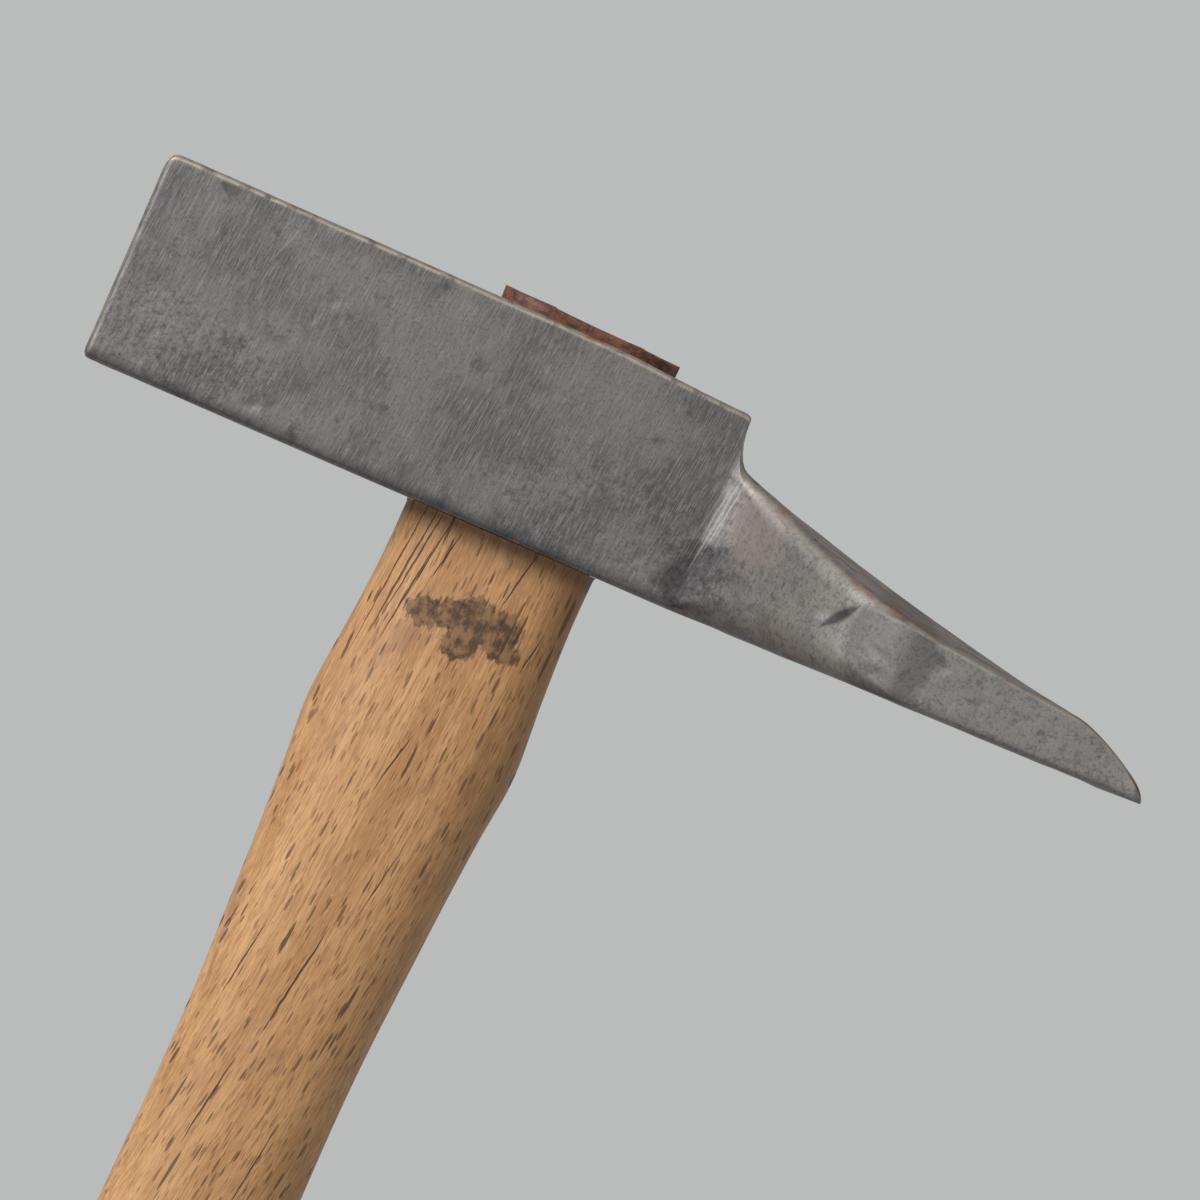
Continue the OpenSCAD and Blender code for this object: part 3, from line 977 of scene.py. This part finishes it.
    def rusted(self):
        """Rust on the top, round the eye, on the nose and on the underside. Gives where it is."""
        patches = self.noise(3.2, 5.0, 0.65)
        on_top = self.facing_up.between(0.35, 0.75)
        under = self.facing_up.below(-0.8, -0.45)
        at_nose = self.x.between(TIP_X - 5.0, TIP_X - 0.5) * self.facing_up.between(0.1, 0.4)
        from_axis = (self.x * self.x + self.y * self.y).math("SQRT")
        near_eye = from_axis.below(10.0, 17.0) * on_top
        rust = on_top * patches.between(0.42, 0.62) * 0.75 + near_eye * 0.4 + at_nose * 0.7
        rust = (rust + under * patches.between(0.45, 0.65) * 0.5).clamped()
        specks = self.noise(0.8, 3.0, 0.6).between(0.35, 0.65)
        self.coat(rust, self.mixed(specks, colour(58, 40, 31), colour(112, 74, 50)))
        return rust

    def relief_and_gloss(self, rust):
        lines = (self.fine_lines * 0.009 + self.long_lines * 0.009) * self.on_block
        height = lines + self.grit * 0.008 + self.mottle * 0.04
        self.bump(height - self.dark_marks * 0.02 - self.pitted * self.pocks * 0.06)
        rough = 0.46 + self.mottle * 0.16 + rust * 0.3 + self.shaded_rough_corner * 0.08 + self.shaded_shoulder * 0.12
        self.set(base_color=self.tone, metallic=1.0 - rust * 0.9, roughness=rough.clamped())


# The grain follows the lean and the bow of the handle: its lean for each mm up, the height z from
# which it straightens, and how fast it does
GRAIN_LEAN = 0.158
GRAIN_TURN_Z = 190.0
GRAIN_TURN = 0.001

# Dark stain below the head, from overlapping spots in the same form as the places on the steel
STAIN = (
    (-4.6, -11.6, 2.4, 1.9), (-1.4, -10.7, 2.6, 2.0), (1.0, -10.2, 3.0, 2.8),
    (4.4, -10.2, 2.6, 2.4), (0.4, -13.6, 2.5, 1.8), (5.2, -12.2, 2.3, 1.7),
)

# Cracks and long dark lines in the wood on the side that faces the camera, in the same form as
# the file marks. Heights are above the head's underside, so below it they are negative.
CRACKS = (
    ((-2.65, -64.9), (-0.2, -50.5), 0.12),
    ((-11.2, -19.0), (-9.4, 0.0), 0.064),
    ((-9.9, -16.0), (-8.0, 0.5), 0.104),
    ((-9.1, -13.0), (-7.2, 0.5), 0.08),
    ((-8.4, -16.5), (-6.6, -3.5), 0.096),
    ((-7.2, -9.5), (-5.9, 0.5), 0.072),
    ((-5.6, -7.5), (-4.4, -1.5), 0.08),
    ((3.4, -7.5), (4.8, -0.5), 0.096),
    ((8.4, -14.0), (9.4, -8.5), 0.104),
    ((-2.0, -33.5), (-0.2, -25.5), 0.088),
    ((2.2, -48.5), (4.2, -37.5), 0.056),
    ((-8.8, -62.0), (-7.4, -53.0), 0.072),
    ((-6.2, -80.0), (-4.4, -69.5), 0.104),
    ((1.8, -86.0), (3.4, -75.0), 0.08),
)


class Beech(Shader):
    """Worn beech: dark flecks of the rays, long cracks, a stain, dirt and painted shadow by the head,
    painted shade down one side, end grain.
    """

    FLECK_DARK = colour(66, 42, 30)

    def __init__(self):
        super().__init__("beech")
        past_turn = (self.z - GRAIN_TURN_Z).math("MAXIMUM", 0.0)
        across = self.x - (self.z * GRAIN_LEAN - past_turn * past_turn * GRAIN_TURN)
        self.straight = self.joined(across, self.y, self.z)
        wobble = self.noise((3.0, 6.0, 22.0), 2.0, 0.5, place=self.straight)
        self.grain = self.joined(across + wobble * 0.7, self.y, self.z)
        self.fibres = self.noise((0.22, 0.6, 5.0), 3.0, 0.6, place=self.grain)
        self.threads = self.noise((0.13, 0.4, 1.8), 3.0, 0.6, place=self.grain)
        self.patches = self.noise((7.0, 7.0, 14.0), 3.0, 0.55)
        self.ragged = self.noise(1.6, 4.0, 0.65)
        self.fringe = self.noise((0.8, 1.2, 2.0), 4.0, 0.65, place=self.straight)
        self.clean_wood()
        stain = self.stained()
        relief = self.flecked()
        # Painted shade in patches down the handle's +x side, away from the lamp
        shaded_right_side = self.x.between(4.0, 12.5) * (0.2 + self.patches * 0.7)
        self.coat(shaded_right_side * 0.5, colour(140, 94, 56))
        # Dirt and painted shadow of the head in a band just below it
        dirt_and_shadow_under_head = self.up.between(-3.2, -0.2) * (0.35 + self.ragged * 0.9)
        self.coat(dirt_and_shadow_under_head.clamped() * 0.75, colour(66, 44, 30))
        relief = relief + self.ragged * stain * 0.03 - self.end_grain()
        self.bump(relief)
        rough = 0.5 + self.fibres * 0.14 + stain * 0.1 - shaded_right_side * 0.05
        self.set(base_color=self.tone, roughness=rough.clamped(), specular_ior_level=0.4)

    def clean_wood(self):
        """Broad bands, dark fibres, light and dark threads, and reddish smudges."""
        bands = self.noise((3.4, 4.0, 60.0), 2.0, 0.5, place=self.grain)
        self.tone = self.mixed(bands.between(0.3, 0.7), colour(164, 119, 75), colour(190, 145, 99))
        self.coat(self.fibres.between(0.4, 0.65) * 0.8, colour(150, 106, 66))
        self.coat(self.threads.between(0.5, 0.7) * 0.5, colour(206, 160, 112))
        self.coat(self.threads.below(0.3, 0.45) * 0.4, colour(132, 92, 58))
        smudges = self.noise((3.5, 3.5, 9.0), 4.0, 0.6, place=self.straight)
        self.coat(smudges.between(0.56, 0.7) * 0.45, colour(122, 88, 66))
        self.coat(self.patches.between(0.52, 0.75) * 0.35, colour(150, 108, 78))

    def stained(self):
        """The stain below the head, on the side that faces the camera. Gives where it is."""
        stain = 0.0
        for place in STAIN:
            stain = self.spot(place, 1.5, self.fringe).math("MAXIMUM", stain)
        stain = stain * self.y.below(-1.0, 1.0)
        blots = self.noise(1.5, 3.0, 0.6).between(0.4, 0.62)
        paint = self.mixed(blots, colour(44, 32, 28), colour(122, 89, 60))
        self.coat(stain * (0.65 + self.threads * 0.45), paint)
        return stain

    def flecked(self):
        """Ray flecks of three sizes, and the cracks. Gives the height of all that in mm."""
        near, length, depth = self.cells((0.6, 15.0, 4.2), place=self.grain)
        border = length * 0.2 + 0.12 - near + (self.fringe - 0.5) * 0.12
        fleck = border.between(-0.02, 0.05) * self.patches.between(0.3, 0.5, 0.6, 1.0)
        self.coat(fleck * (0.45 + depth * 0.5), self.FLECK_DARK)
        aside = self.vector("ADD", self.grain, (3.3, 5.1, 7.7))
        near, length, depth = self.cells((0.42, 12.0, 3.0), place=aside)
        small_fleck = (length * 0.22 + 0.1 - near).between(-0.03, 0.05)
        self.coat(small_fleck * (0.2 + depth * 0.5), colour(98, 64, 42))
        near, length, _ = self.cells((1.3, 18.0, 17.0), place=self.grain)
        long_fleck = (length * 0.13 + 0.04 - near).between(-0.02, 0.03)
        self.coat(long_fleck * 0.8, colour(58, 39, 27))
        cracks = self.cracked()
        self.coat(cracks * 0.9, colour(56, 37, 24))
        fibres = self.fibres * 0.03 + self.threads * 0.016
        return fibres - fleck * 0.012 - long_fleck * 0.03 - cracks * 0.12

    def cracked(self):
        waver = self.noise((1.0, 1.0, 3.0), 3.0, 0.6) * 0.4 - 0.2
        total = 0.0
        for start, end, width in CRACKS:
            total = self.stroke(start, end, width, waver) + total
        return (total * self.y.below(-2.0, 0.0)).clamped()

    def end_grain(self):
        """Oily old wood on the tenon's end, and pores and rays on the butt. Gives the pores' depth."""
        tenon = self.up.between(24.0, 25.0)
        blots = self.noise((1.2, 1.2, 0.5), 3.0, 0.6).between(0.35, 0.65)
        self.coat(tenon, self.mixed(blots, colour(62, 40, 33), colour(112, 64, 44)))
        pores, _, _ = self.cells((0.24, 0.24, 4.0))
        rays, _, _ = self.cells((0.7, 9.0, 30.0))
        paint = self.mixed(pores.between(0.1, 0.35, 0.6, 0.0), colour(150, 108, 70), self.FLECK_DARK)
        paint = self.mixed(rays.between(0.1, 0.22, 0.6, 0.0), paint, colour(186, 146, 104))
        paint = self.mixed(self.patches.between(0.35, 0.65) * 0.6, paint, colour(98, 68, 46))
        facing = self.normal()[2].magnitude().between(0.75, 0.95)
        self.coat(facing * (1.0 - tenon), paint)
        return facing * pores.between(0.1, 0.35, 0.05, 0.0)


def wedge_wood_material():
    """End grain of the wooden wedge, dark with oil."""
    s = Shader("wedge_wood")
    grain = s.noise((2.5, 0.25, 6.0), 3.0, 0.6)
    blots = s.noise(1.6, 3.0, 0.6)
    s.tone = s.mixed(grain.between(0.35, 0.65), colour(74, 48, 36), colour(128, 84, 56))
    s.coat(blots.between(0.5, 0.7) * 0.6, colour(52, 36, 30))
    s.bump(grain * 0.06 + blots * 0.05)
    s.set(base_color=s.tone, roughness=0.6 + blots * 0.15)
    return s.material


def wedge_iron_material():
    """Iron wedge: rust over battered dark iron."""
    s = Shader("wedge_iron")
    rust = s.noise(0.9, 4.0, 0.65)
    s.tone = s.mixed(rust.between(0.4, 0.6), colour(66, 60, 58), colour(118, 68, 44))
    s.bump(rust * 0.08)
    s.set(base_color=s.tone, metallic=rust.between(0.45, 0.6, 0.8, 0.05), roughness=0.5 + rust * 0.3)
    return s.material


def paper_material():
    s = Shader("floor_paper")
    s.tone = s.mixed(s.noise(60.0, 3.0, 0.5), colour(186, 187, 186), colour(192, 193, 192))
    s.set(base_color=s.tone, roughness=0.9)
    return s.material


# Camera, light and floor

def make_camera():
    a = math.radians(CAMERA_ROLL)
    right = Vector((math.cos(a), 0, math.sin(a)))
    up = Vector((-math.sin(a), 0, math.cos(a)))
    back = right.cross(up)
    camera = bpy.data.cameras.new("camera")
    camera.sensor_width = SENSOR_W
    camera.lens = -CAMERA_AT[1] * SENSOR_W / FRAME_W
    camera.clip_start = 0.01
    holder = bpy.data.objects.new("camera", camera)
    turn = Matrix((right, up, back)).transposed()
    holder.matrix_world = Matrix.Translation(Vector(CAMERA_AT) * MM) @ turn.to_4x4()
    bpy.context.scene.collection.objects.link(holder)
    bpy.context.scene.camera = holder


def make_key_lamp():
    """A square soft lamp to the upper left of the head, on the camera's side."""
    lamp = bpy.data.lights.new("key_lamp", "AREA")
    lamp.size, lamp.energy = KEY_SIZE * MM, KEY_WATTS
    holder = bpy.data.objects.new("key_lamp", lamp)
    toward = Vector(KEY_FROM).normalized()
    holder.location = (Vector(KEY_AIM) + toward * KEY_DISTANCE) * MM
    holder.rotation_euler = toward.to_track_quat("Z", "Y").to_euler()
    bpy.context.scene.collection.objects.link(holder)


def make_world():
    """An even pale grey all round, which is also the background."""
    world = bpy.data.worlds.new("studio")
    world.use_nodes = True
    background = world.node_tree.nodes["Background"]
    background.inputs["Color"].default_value = colour(186, 188, 187)
    background.inputs["Strength"].default_value = 1.0
    bpy.context.scene.world = world


def make_floor():
    """A plain pale round floor under the butt."""
    a = np.linspace(0, math.tau, 96, endpoint=False)
    circle = FLOOR_R * np.cos(a), FLOOR_R * np.sin(a)
    rings = [np.stack([*circle, np.full_like(a, z)], axis=1) for z in (-FLOOR_T, 0.0)]
    floor = closed_loft("floor", np.stack(rings))
    floor.data.materials.append(paper_material())


def dress(piece, material, node):
    """Gives a piece its material, and puts it in the place of a CAD node."""
    piece.data.materials.clear()
    piece.data.materials.append(material)
    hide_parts(node)
    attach(piece, "root")


def repaint(node, material):
    """A CAD node whose shape is right keeps it, and gets a finished material."""
    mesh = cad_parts[node].data
    mesh.materials.clear()
    mesh.materials.append(material)


make_camera()
make_world()
make_key_lamp()
make_floor()
dress(make_head(), Steel().material, "head")
dress(make_handle(), Beech().material, "handle")
repaint("wooden_wedge", wedge_wood_material())
wedge_iron = wedge_iron_material()
repaint("iron_wedge_poll", wedge_iron)
repaint("iron_wedge_peen", wedge_iron)

bpy.context.scene.view_settings.view_transform = "Standard"
